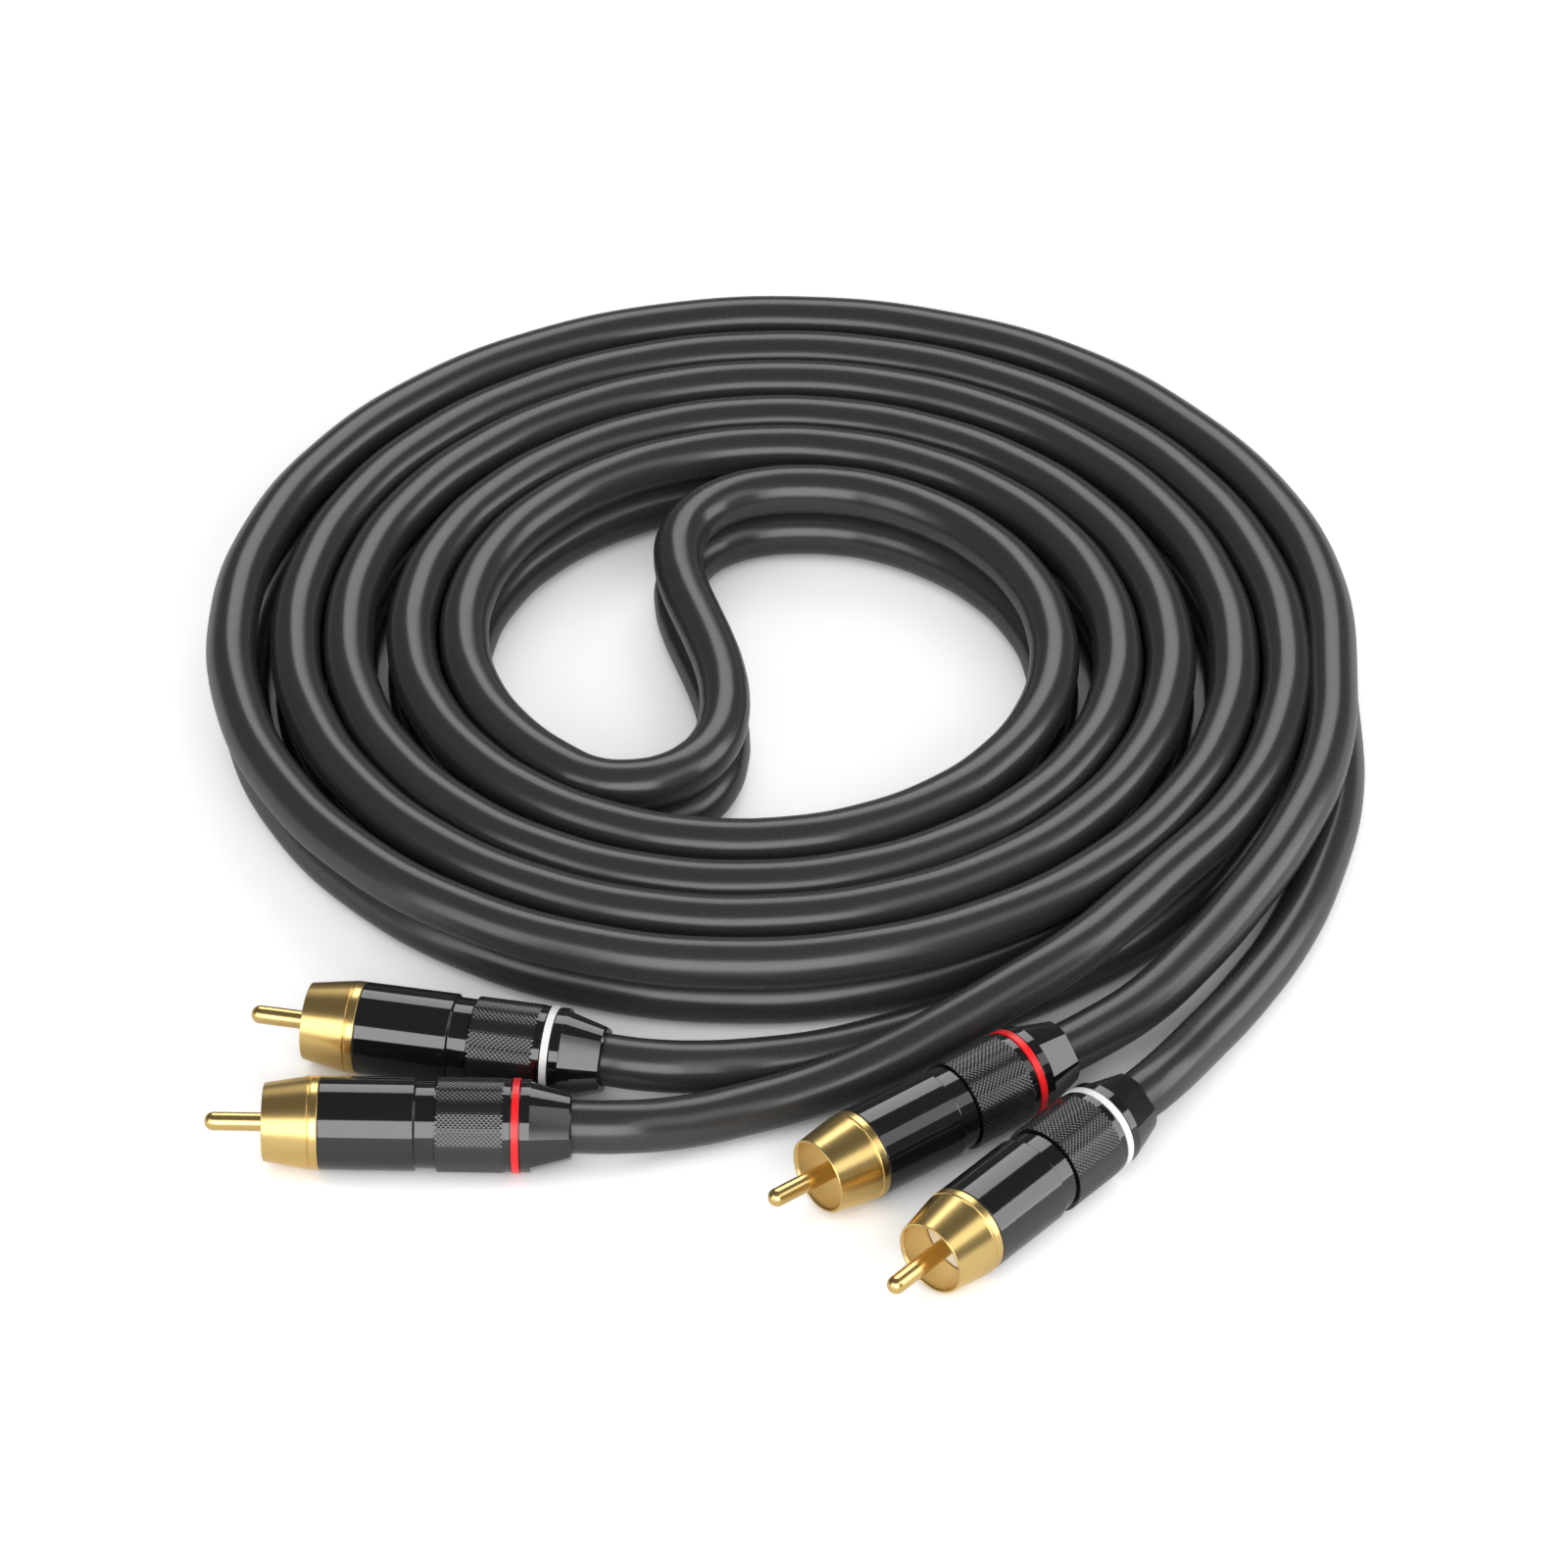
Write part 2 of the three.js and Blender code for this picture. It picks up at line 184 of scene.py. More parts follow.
class PlugSettings(bpy.types.PropertyGroup):
    """Sizes and colours of the four plugs."""

    pin_diameter: size("Pin diameter", "Of the centre pin", 2.8)
    pin_reach: size("Pin reach", "From the pin's tip to the shell's rim", 8.9)
    pin_cup_diameter: size("Pin cup diameter", "Outside the solder cup", 4.0)
    pin_cup_length: size("Pin cup length", "Of the solder cup", 5.0)
    pin_cup_bore: size("Pin cup bore", "Inside the solder cup", 2.4)
    pin_cup_depth: size("Pin cup depth", "Of the solder cup's bore", 3.6)
    shell_length: size("Shell length", "From the rim to the barrel", 8.4)
    shell_mouth: size("Shell mouth", "Diameter at the rim", 11.7)
    shell_wall: size("Shell wall", "Thickness of the cup", 0.65)
    shell_cup_depth: size("Cup depth", "From the rim to its floor", 6.9)
    bead_width: size("Bead width", "Of the bead at the shell's rear", 1.4)
    bead_groove: size("Bead groove", "Depth of the groove ahead of the bead", 0.2)
    shell_tail_diameter: size("Shell tail diameter", "Of the part inside the barrel", 11.2)
    shell_tail_length: size("Shell tail length", "Of the part inside the barrel", 4.1)
    shell_bore: size("Shell bore", "That holds the insulator", 9.8)
    insulator_flange: size("Insulator flange", "Thickness of the flange on the cup's floor", 0.5)
    barrel_diameter: size("Barrel diameter", "Across the gloss black barrel", 14.0)
    barrel_length: size("Barrel length", "As far as the neck", 14.2)
    barrel_bore: size("Barrel bore", "Inside the barrel", 10.8)
    neck_depth: size("Neck depth", "Of the neck below the barrel", 0.45)
    neck_length: size("Neck length", "Between barrel and rear cap", 3.0)
    spigot_diameter: size("Spigot diameter", "Of the barrel inside the cap", 12.1)
    spigot_length: size("Spigot length", "Of the barrel inside the cap", 3.3)
    knurl_rise: size("Knurl rise", "Of the knurl above the barrel", 0.075)
    knurl_length: size("Knurl length", "Of the grip", 10.5)
    knurl_depth: size("Knurl depth", "Of the grooves between its points", 0.06)
    knurl_around: count("Knurl around", "Points in a row round the grip", 64)
    knurl_rows: count("Knurl rows", "Rows of points along the grip", 28)
    band_depth: size("Band depth", "Of the plain bands below the barrel", 0.05)
    front_band: size("Front band", "Ahead of the colour ring", 1.0)
    rear_band: size("Rear band", "Behind the colour ring", 1.6)
    taper_length: size("Taper length", "Of the tail with flats", 6.1)
    tail_diameter: size("Tail diameter", "At the end of the tail", 10.5)
    flat_depth: size("Flat depth", "Of a flat below the cone, at its middle", 0.5)
    flat_crown: size("Flat crown", "Rise of a flat's middle over its edges", 0.015)
    flats: count("Flats", "Round the tail", 4)
    cap_bore: size("Cap bore", "Inside the rear cap", 11.2)
    ring_rise: size("Ring rise", "Of the colour ring above the barrel", 0.1)
    ring_width: size("Ring width", "Of the colour ring", 1.1)
    ring_thickness: size("Ring thickness", "Of the colour ring", 0.6)
    clamp_length: size("Clamp length", "Of the split cord clamp", 4.65)
    fit: size("Fit", "Between two turned pieces, one in the other", 0.3)
    seat: size("Seat", "Between two faces that meet", 0.3)
    ring_seat: size("Ring seat", "On each side of the colour ring", 0.15)
    gold: colour("Gold", "Of the plated pin and shell", "#eccb84")
    lacquer: colour("Lacquer", "Of the gloss black barrel", "#121213")
    # Lighter than the barrel's lacquer: painted light in the grip's grooves
    knurl_black_painted_light: colour("Knurl black", "Of the grip, with light in its grooves", "#1c1c1d")
    red: colour("Red", "Of the right channel's ring", "#f52228")
    white: colour("White", "Of the left channel's ring", "#f2f2f0")


class StageSettings(bpy.types.PropertyGroup):
    """The table, the soft boxes and the camera."""

    floor: colour("Floor", "Of the pale table", "#f0f0f0")
    camera_elevation: FloatProperty(
        name="Camera elevation",
        description="Of the camera above the table",
        default=math.radians(38.6),
        subtype="ANGLE",
    )
    camera_distance: size("Camera distance", "From the camera to what it looks at", 1200)
    lens: FloatProperty(name="Lens", description="Focal length in mm, on 36 mm", default=173.9)


def mesh_piece(name, mesh, materials):
    """A finished piece at the origin, from a mesh that is already in its place."""
    piece = bpy.data.objects.new(name, mesh)
    bpy.context.scene.collection.objects.link(piece)
    for material in materials:
        mesh.materials.append(material)
    return piece


def settle(piece, slot, *nodes):
    """Fixes a finished piece to the cable's one body, in place of the nodes that it shows."""
    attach(piece, "root")
    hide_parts(*nodes)


def rounded(corners, closed=True):
    """An outline from (along, radius, rounding) corners, with a small curve at each rounded one."""
    # A curve has this many steps, and takes up a little under half of a short stretch beside it
    steps, part = 5, 1 / 2.2
    outline = []
    for i, (along, radius, rounding) in enumerate(corners):
        corner = Vector((along, radius))
        at_end = not closed and i in (0, len(corners) - 1)
        if rounding == 0 or at_end:
            outline.append(corner)
            continue
        before = Vector(corners[i - 1][:2]) - corner
        after = Vector(corners[(i + 1) % len(corners)][:2]) - corner
        start = corner + before.normalized() * min(rounding, before.length * part)
        end = corner + after.normalized() * min(rounding, after.length * part)
        for j in range(steps + 1):
            share = j / steps
            outline.append(start.lerp(corner, share).lerp(corner.lerp(end, share), share))
    return braced(outline, closed)


def braced(outline, closed):
    """The outline with a point close to each end of a long stretch, so that it shades straight."""
    close, long = 0.04 * MM, 0.6 * MM
    points = []
    for i, point in enumerate(outline):
        points.append(point)
        if i == len(outline) - 1 and not closed:
            break
        ahead = outline[(i + 1) % len(outline)] - point
        if ahead.length > long:
            points.append(point + ahead.normalized() * close)
            points.append(point + ahead - ahead.normalized() * close)
    return points


def turned(name, outline, place, sides, closed=True, ring_of=None, sharp=30):
    """A mesh turned about the plug's axis. ring_of may give the (angle, radius) pairs of a ring."""
    shape = bmesh.new()
    uv_layer = shape.loops.layers.uv.new("turned")
    rings, travelled = [], [0.0]
    for i, (along, radius) in enumerate(outline):
        if radius < ON_AXIS:
            rings.append([shape.verts.new((along, 0, 0))] * sides)
            continue
        pairs = ring_of(i) if ring_of else None
        pairs = pairs or [(2 * math.pi * j / sides, radius) for j in range(sides)]
        ring = [shape.verts.new((along, -r * math.sin(a), r * math.cos(a))) for a, r in pairs]
        rings.append(ring)
    pairs_of_rings = list(zip(range(len(rings)), range(1, len(rings))))
    if closed:
        pairs_of_rings.append((len(rings) - 1, 0))
    for a, b in pairs_of_rings:
        travelled.append(travelled[-1] + (Vector(outline[b]) - Vector(outline[a])).length)
    for step, (a, b) in enumerate(pairs_of_rings):
        for j in range(sides):
            k = (j + 1) % sides
            loop = [
                (rings[a][j], 0, j),
                (rings[b][j], 1, j),
                (rings[b][k], 1, j + 1),
                (rings[a][k], 0, j + 1),
            ]
            kept = [p for n, p in enumerate(loop) if p[0] is not loop[n - 1][0]]
            if len(kept) < 3:
                continue
            face = shape.faces.new([p[0] for p in kept])
            for corner, (_, ahead, turn) in zip(face.loops, kept):
                corner[uv_layer].uv = (travelled[step + ahead], turn / sides)
    bmesh.ops.recalc_face_normals(shape, faces=shape.faces)
    shape.transform(place)
    mesh = bpy.data.meshes.new(name)
    shape.to_mesh(mesh)
    shape.free()
    mesh.shade_smooth()
    mesh.set_sharp_from_angle(angle=math.radians(sharp))
    return mesh


def distances(plug):
    """Where each feature of a plug lies along it, from the tip of its pin."""
    at = {"rim": plug.pin_reach}
    at["shell_rear"] = at["rim"] + plug.shell_length
    at["shell_tail_end"] = at["shell_rear"] + plug.shell_tail_length
    at["cup_floor"] = at["rim"] + plug.shell_cup_depth
    at["neck"] = at["shell_rear"] + plug.barrel_length
    at["cap"] = at["neck"] + plug.neck_length
    at["spigot_end"] = at["cap"] + plug.spigot_length
    at["band"] = at["cap"] + plug.knurl_length
    at["ring"] = at["band"] + plug.front_band
    at["ring_end"] = at["ring"] + plug.ring_width
    at["taper"] = at["ring_end"] + plug.rear_band
    at["tail_end"] = at["taper"] + plug.taper_length
    at["clamp"] = at["taper"] - plug.seat - plug.clamp_length
    at["inner"] = at["shell_tail_end"] + plug.seat
    return at


def middle_of(node):
    """The middle of a node's box."""
    low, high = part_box(node)
    return (low + high) / 2


def spiral_centre():
    return middle_of("coil") - Vector((*COIL_OFFSET, 0)) * MM


def plug_place(name, plug):
    """The plug's own frame: its pin's tip at the origin, its tail along X and up along Z."""
    ring = middle_of(f"{name}_colour_ring")
    tail = ring - middle_of(f"{name}_centre_pin")
    tail.z = 0
    tail.normalize()
    at = distances(plug)
    tip = ring - tail * (at["ring"] + at["ring_end"]) / 2
    place = Matrix((tail, Vector((0, 0, 1)).cross(tail), Vector((0, 0, 1)))).transposed().to_4x4()
    place.translation = tip
    return place


def add_node(tree, kind, inputs=None, **settings):
    """Adds a node, sets it up, and links or fills its inputs."""
    node = tree.nodes.new(kind)
    for name, value in settings.items():
        setattr(node, name, value)
    for name, value in (inputs or {}).items():
        if isinstance(value, bpy.types.NodeSocket):
            tree.links.new(value, node.inputs[name])
        else:
            node.inputs[name].default_value = value
    return node


def new_material(name):
    """A bare material and its tree."""
    material = bpy.data.materials.new(name)
    material.use_nodes = True
    material.node_tree.nodes.clear()
    return material, material.node_tree


def close_material(tree, shader):
    add_node(tree, "ShaderNodeOutputMaterial", {"Surface": shader.outputs[0]})


def mottled(tree, vector, rgb, cloud, spread):
    """The colour with faint clouds of this size in it, lighter and darker by the spread."""
    clouds = add_node(
        tree, "ShaderNodeTexNoise", {"Vector": vector, "Scale": 1 / cloud, "Detail": 3.0}
    )
    return add_node(
        tree,
        "ShaderNodeMix",
        {
            "Factor": clouds.outputs["Fac"],
            "A": [*[c * (1 - spread) for c in rgb], 1],
            "B": [*[c * (1 + spread) for c in rgb], 1],
        },
        data_type="RGBA",
    )


def pvc_jacket(rgb):
    """Soft PVC, extruded over the core: satin, with a fine grain that softens each highlight."""
    material, tree = new_material("soft_pvc_jacket")
    place = add_node(tree, "ShaderNodeTexCoord").outputs["Object"]
    tone = mottled(tree, place, rgb, cloud=18.2 * MM, spread=0.06)
    # The grain of the extruded skin, 0.25 mm from bump to bump
    grain_size = 0.25 * MM
    grain = add_node(
        tree, "ShaderNodeTexNoise", {"Vector": place, "Scale": 1 / grain_size, "Detail": 2.0}
    )
    polish = add_node(
        tree,
        "ShaderNodeMapRange",
        {"Value": grain.outputs["Fac"], "To Min": 0.22, "To Max": 0.3},
    )
    bump = add_node(
        tree,
        "ShaderNodeBump",
        {"Height": grain.outputs["Fac"], "Strength": 0.06, "Distance": 0.03 * MM},
    )
    shader = add_node(
        tree,
        "ShaderNodeBsdfPrincipled",
        {
            "Base Color": tone.outputs["Result"],
            "Roughness": polish.outputs["Result"],
            "IOR": 1.6,
            "Normal": bump.outputs["Normal"],
        },
    )
    close_material(tree, shader)
    return material


def turned_metal(name, rgb, metallic, roughness, spacing, depth, ior=1.5):
    """A turned and coated surface. Fine marks run round it at this spacing, and of this depth."""
    # The marks make the roughness vary by this share
    unevenness = 0.06
    material, tree = new_material(name)
    uv = add_node(tree, "ShaderNodeUVMap", uv_map="turned")
    along = add_node(tree, "ShaderNodeSeparateXYZ", {"Vector": uv.outputs["UV"]})
    marks = add_node(
        tree,
        "ShaderNodeTexNoise",
        {"W": along.outputs["X"], "Scale": 1 / spacing, "Detail": 2.0},
        noise_dimensions="1D",
    )
    place = add_node(tree, "ShaderNodeTexCoord").outputs["Object"]
    tone = mottled(tree, place, rgb, cloud=6.25 * MM, spread=0.03)
    polish = add_node(
        tree,
        "ShaderNodeMapRange",
        {
            "Value": marks.outputs["Fac"],
            "To Min": roughness * (1 - unevenness),
            "To Max": roughness * (1 + unevenness),
        },
    )
    bump = add_node(
        tree, "ShaderNodeBump", {"Height": marks.outputs["Fac"], "Strength": 1.0, "Distance": depth}
    )
    shader = add_node(
        tree,
        "ShaderNodeBsdfPrincipled",
        {
            "Base Color": tone.outputs["Result"],
            "Metallic": metallic,
            "Roughness": polish.outputs["Result"],
            "IOR": ior,
            "Normal": bump.outputs["Normal"],
        },
    )
    close_material(tree, shader)
    return material


def gold_plating(rgb):
    """Hard gold plated on turned brass: a warm mirror with the lathe's marks just left in it."""
    return turned_metal(
        "gold_plating", rgb, metallic=1.0, roughness=0.25, spacing=0.12 * MM, depth=0.00004 * MM
    )


def satin_gold(rgb):
    """The same gold inside the cup, where the boring marks are left in and blur what it mirrors.
    Its colour is painted paler: a painted reflection of the white around it.
    """
    # A power below 1 makes the colour paler: a painted reflection of the white around the rough
    # wall
    power = 0.75
    pale_for_painted_light = [share**power for share in rgb]
    return turned_metal(
        "satin_gold_painted_light",
        pale_for_painted_light,
        metallic=1.0,
        roughness=0.45,
        spacing=0.12 * MM,
        depth=0.0008 * MM,
    )


def black_lacquer(rgb):
    """Black lacquer baked on turned brass: deep gloss that mirrors the soft boxes sharply."""
    return turned_metal(
        "gloss_black_lacquer",
        rgb,
        metallic=0.0,
        roughness=0.07,
        spacing=0.5 * MM,
        depth=0.0001 * MM,
        ior=LACQUER_IOR,
    )


def plain_finish(name, rgb, cloud, spread, sockets):
    """A finish with no grain of its own: faint clouds of tone, and these values on its shader."""
    material, tree = new_material(name)
    place = add_node(tree, "ShaderNodeTexCoord").outputs["Object"]
    tone = mottled(tree, place, rgb, cloud, spread)
    values = {"Base Color": tone.outputs["Result"], **sockets}
    shader = add_node(tree, "ShaderNodeBsdfPrincipled", values)
    close_material(tree, shader)
    return material


def black_knurl(rgb):
    """The same lacquer over the knurl, a little duller because it pools in the grooves. Its black
    is lighter than the barrel's: painted light in the grooves.
    """
    sockets = {"Roughness": 0.16, "IOR": LACQUER_IOR}
    return plain_finish("black_lacquer_on_knurl_painted_light", rgb, 3.33 * MM, 0.1, sockets)


def bare_brass():
    """Brass as it left the lathe, dull yellow, inside the plug."""
    sockets = {"Metallic": 1.0, "Roughness": 0.35}
    return plain_finish("bare_brass", to_linear("#b8964f"), 3.33 * MM, 0.08, sockets)


def copper_strand():
    """The bare copper strands in the pin's cup, uneven in tone."""
    sockets = {"Metallic": 1.0, "Roughness": 0.3}
    return plain_finish("copper_strand", to_linear("#c77b4e"), 1.11 * MM, 0.15, sockets)


def moulded_plastic(name, rgb, roughness):
    """A small moulded piece: even colour with a soft satin skin, from a grain of 0.2 mm."""
    material, tree = new_material(name)
    place = add_node(tree, "ShaderNodeTexCoord").outputs["Object"]
    tone = mottled(tree, place, rgb, cloud=2.5 * MM, spread=0.02)
    grain_size = 0.2 * MM
    skin = add_node(tree, "ShaderNodeTexNoise", {"Vector": place, "Scale": 1 / grain_size})
    bump = add_node(
        tree,
        "ShaderNodeBump",
        {"Height": skin.outputs["Fac"], "Strength": 0.1, "Distance": 0.02 * MM},
    )
    shader = add_node(
        tree,
        "ShaderNodeBsdfPrincipled",
        {
            "Base Color": tone.outputs["Result"],
            "Roughness": roughness,
            "IOR": 1.5,
            "Normal": bump.outputs["Normal"],
        },
    )
    close_material(tree, shader)
    return material


def lean_at(degrees, arm):
    """How far the lower cord leans inwards there, in mm."""
    turns = max(0, LEAN_STARTS[arm] - degrees) / 360
    towards = (1 + math.cos(math.radians(degrees - LEAN_BEARING))) / 2
    left_over = 1
    if arm is LEFT_ARM:
        first, last = LEAN_ENDS
        left_over = min(1, max(0, (degrees - last) / (first - last)))
    return LEAN * turns**2 * towards * left_over


def arm_points(arm, height, leans):
    """One arm of the spiral, from the S-turn outwards."""
    start_radius, start, end = arm
    steps = round(abs(end - start) / ARM_STEP)
    points = []
    for i in range(steps + 1):
        degrees = start + (end - start) * i / steps
        radius = start_radius - SPIRAL_PITCH * degrees / 360
        if leans:
            radius -= lean_at(degrees, arm)
        angle = math.radians(degrees)
        points.append((radius * math.cos(angle), radius * math.sin(angle), height))
    return points


class CABLE_OT_cords(bpy.types.Operator):
    """Makes the two cords, each from a right plug through the coil to a left plug"""

    bl_idname = "cable.cords"
    bl_label = "Cords"

    def execute(self, context):
        cord, plug = context.scene.cable_cord, context.scene.cable_plug
        jacket = pvc_jacket(cord.jacket)
        at = distances(plug)
        centre = spiral_centre()
        lower = cord.diameter / 2 + cord.lift
        heights = {"lower": lower, "upper": lower + cord.diameter + cord.gap}
        for name, (level, first, last, stands_for) in CORDS.items():
            height = heights[level] / MM
            flat = [(x, y, height) for x, y in MIDDLE_ROUTE]
            lead = [(x, y, height) for x, y in RIGHT_LEAD]
            route = [
                *TAIL_ROUTES[first][::-1],
                *lead[::-1],
                *arm_points(RIGHT_ARM, height, level == "lower")[::-1],
                *flat[::-1],
                *arm_points(LEFT_ARM, height, level == "lower"),
                *TAIL_ROUTES[last],
            ]
            route = [Vector((centre.x + x * MM, centre.y + y * MM, z * MM)) for x, y, z in route]
            ends = []
            for plug_name in (first, last):
                place = plug_place(plug_name, plug)
                reaches = (at["clamp"], at["tail_end"], at["tail_end"] + cord.straight_exit)
                ends.append([place @ Vector((reach, 0, 0)) for reach in reaches])
            route = [*ends[0], *route, *ends[1][::-1]]
            curve = bpy.data.curves.new(name, "CURVE")
            curve.dimensions = "3D"
            curve.bevel_depth = cord.diameter / 2
            curve.bevel_resolution = 10
            curve.resolution_u = 8
            curve.use_fill_caps = True
            spline = curve.splines.new("BEZIER")
            spline.bezier_points.add(len(route) - 1)
            for point, position in zip(spline.bezier_points, route):
                point.co = position
                point.handle_left_type = point.handle_right_type = "AUTO"
            curve.materials.append(jacket)
            piece = bpy.data.objects.new(name, curve)
            context.scene.collection.objects.link(piece)
            tails = [f"{plug_name}_tail_cord" for plug_name in (first, last)]
            settle(piece, "cord_jacket", *stands_for, *tails)
        return {"FINISHED"}


class CABLE_OT_pins(bpy.types.Operator):
    """Makes the gold centre pins, each with a round tip and a solder cup"""

    bl_idname = "cable.pins"
    bl_label = "Centre pins"

    def execute(self, context):
        plug = context.scene.cable_plug
        at = distances(plug)
        gold = gold_plating(plug.gold)
        radius, cup = plug.pin_diameter / 2, plug.pin_cup_diameter / 2
        cup_end = at["inner"] + plug.pin_cup_length
        bore = plug.pin_cup_bore / 2
        tip = [(radius - radius * math.cos(a), radius * math.sin(a)) for a in arc_angles(10)]
        bore_end = cup_end - plug.pin_cup_depth
        rear = rounded(
            [
                (radius, radius, 0),
                (at["inner"], radius, 0),
                (at["inner"], cup, 0.2 * MM),
                (cup_end, cup, 0.2 * MM),
                (cup_end, bore, 0.1 * MM),
                (bore_end, bore, 0),
                (bore_end, 0, 0),
            ],
            closed=False,
        )
        for name in PLUGS:
            place = plug_place(name, plug)
            mesh = turned(name + "_pin", tip + rear[1:], place, sides=40, closed=False)
            piece = mesh_piece(name + "_pin", mesh, [gold])
            settle(piece, "gold_plating", f"{name}_centre_pin")
        return {"FINISHED"}


def arc_angles(steps):
    """From 0 to a quarter turn."""
    return [math.pi / 2 * i / steps for i in range(steps + 1)]


def inside_cup(plug, at, along):
    """Radius of the cup's tapered inside, some way along the plug."""
    at_rim = plug.shell_mouth / 2 - plug.shell_wall
    at_floor = plug.barrel_diameter / 2 - plug.bead_groove - plug.shell_wall
    return at_rim + (at_floor - at_rim) * (along - at["rim"]) / plug.shell_cup_depth


class CABLE_OT_shells(bpy.types.Operator):
    """Makes the gold ground shells: a tapered cup, a bead behind it and a tail inside the barrel"""

    bl_idname = "cable.shells"
    bl_label = "Ground shells"

    def execute(self, context):
        plug = context.scene.cable_plug
        at = distances(plug)
        gold = gold_plating(plug.gold)
        satin = satin_gold(plug.gold)
        mouth, rear = plug.shell_mouth / 2, plug.barrel_diameter / 2
        bead = at["shell_rear"] - plug.bead_width
        groove = rear - plug.bead_groove
        # The narrow groove's two sides slope over these stretches, from just below the bead's top
        front_slope = (bead - 0.2 * MM, bead - 0.1 * MM)
        rear_slope = (bead + 0.05 * MM, bead + 0.15 * MM)
        cup_end = rear - 0.02 * MM
        # The cup's edge is chamfered inside, down to a thin lip
        lip, chamfer = 0.3 * MM, 0.5 * MM
        outline = rounded(
            [
                (at["rim"], mouth, 0.12 * MM),
                (front_slope[0], cup_end, 0.1 * MM),
                (front_slope[1], groove, 0.04 * MM),
                (rear_slope[0], groove, 0.04 * MM),
                (rear_slope[1], rear, 0.12 * MM),
                (at["shell_rear"], rear, 0.2 * MM),
                (at["shell_rear"], plug.shell_tail_diameter / 2, 0),
                (at["shell_tail_end"], plug.shell_tail_diameter / 2, 0.2 * MM),
                (at["shell_tail_end"], plug.shell_bore / 2, 0),
                (at["cup_floor"], plug.shell_bore / 2, 0),
                (at["cup_floor"], inside_cup(plug, at, at["cup_floor"]), 0.4 * MM),
                (at["rim"] + chamfer, inside_cup(plug, at, at["rim"] + chamfer), 0.2 * MM),
                (at["rim"], mouth - lip, 0.1 * MM),
            ]
        )
        # A face of the cup's inside or floor lies no deeper than this in its wall
        skin = plug.shell_wall / 4
        for name in PLUGS:
            place = plug_place(name, plug)
            mesh = turned(name + "_shell", outline, place, sides=96)
            piece = mesh_piece(name + "_shell", mesh, [gold, satin])
            to_plug = place.inverted()
            for face in mesh.polygons:
                spot = to_plug @ face.center
                in_length = at["rim"] < spot.x < at["cup_floor"] + skin
                in_cup = in_length and spot.yz.length < inside_cup(plug, at, spot.x) + skin
                face.material_index = 1 if in_cup else 0
            settle(piece, "gold_plating", f"{name}_ground_shell")
        return {"FINISHED"}


class CABLE_OT_insulators(bpy.types.Operator):
    """Makes the white insulators that hold the pins in the shells"""

    bl_idname = "cable.insulators"
    bl_label = "Insulators"

    def execute(self, context):
        plug = context.scene.cable_plug
        at = distances(plug)
        acetal = moulded_plastic("white_acetal", to_linear("#efece4"), 0.42)
        bore = plug.pin_diameter / 2 + plug.fit
        outside = plug.shell_bore / 2 - plug.fit
        flange_end = at["cup_floor"] - plug.seat
        flange_start = flange_end - plug.insulator_flange
        # The flange clears the cup's wall by this
        slack = 0.1 * MM
        flange = inside_cup(plug, at, flange_start) - slack
        outline = rounded(
            [
                (flange_start, bore, 0.15 * MM),
                (flange_start, flange, 0.15 * MM),
                (flange_end, flange, 0.05 * MM),
                (flange_end, outside, 0),
                (at["shell_tail_end"], outside, 0.2 * MM),
                (at["shell_tail_end"], bore, 0),
            ]
        )
        for name in PLUGS:
            mesh = turned(name + "_insulator_disc", outline, plug_place(name, plug), sides=64)
            piece = mesh_piece(name + "_insulator_disc", mesh, [acetal])
            settle(piece, "insulator", f"{name}_insulator")
        return {"FINISHED"}


class CABLE_OT_barrels(bpy.types.Operator):
    """Makes the gloss black barrels, each with its narrower neck and the spigot inside the cap"""

    bl_idname = "cable.barrels"
    bl_label = "Barrels"

    def execute(self, context):
        plug = context.scene.cable_plug
        at = distances(plug)
        lacquer = black_lacquer(plug.lacquer)
        outside = plug.barrel_diameter / 2
        neck = outside - plug.neck_depth
        # The barrel starts this far behind the shell, and slopes down to its neck over this length
        gap, slope = 0.05 * MM, 0.15 * MM
        front = at["shell_rear"] + gap
        front_bore = plug.shell_tail_diameter / 2 + plug.fit
        floor = at["shell_tail_end"] + plug.seat
        outline = rounded(
            [
                (front, outside, 0.12 * MM),
                (at["neck"], outside, 0.15 * MM),
                (at["neck"] + slope, neck, 0.12 * MM),
                (at["cap"], neck, 0),
                (at["cap"], plug.spigot_diameter / 2, 0),
                (at["spigot_end"], plug.spigot_diameter / 2, 0.2 * MM),
                (at["spigot_end"], plug.barrel_bore / 2, 0),
                (floor, plug.barrel_bore / 2, 0),
                (floor, front_bore, 0),
                (front, front_bore, 0.1 * MM),
            ]
        )
        for name in PLUGS:
            mesh = turned(name + "_black_barrel", outline, plug_place(name, plug), sides=128)
            piece = mesh_piece(name + "_black_barrel", mesh, [lacquer])
            settle(piece, "gloss_black_barrel", f"{name}_barrel")
        return {"FINISHED"}


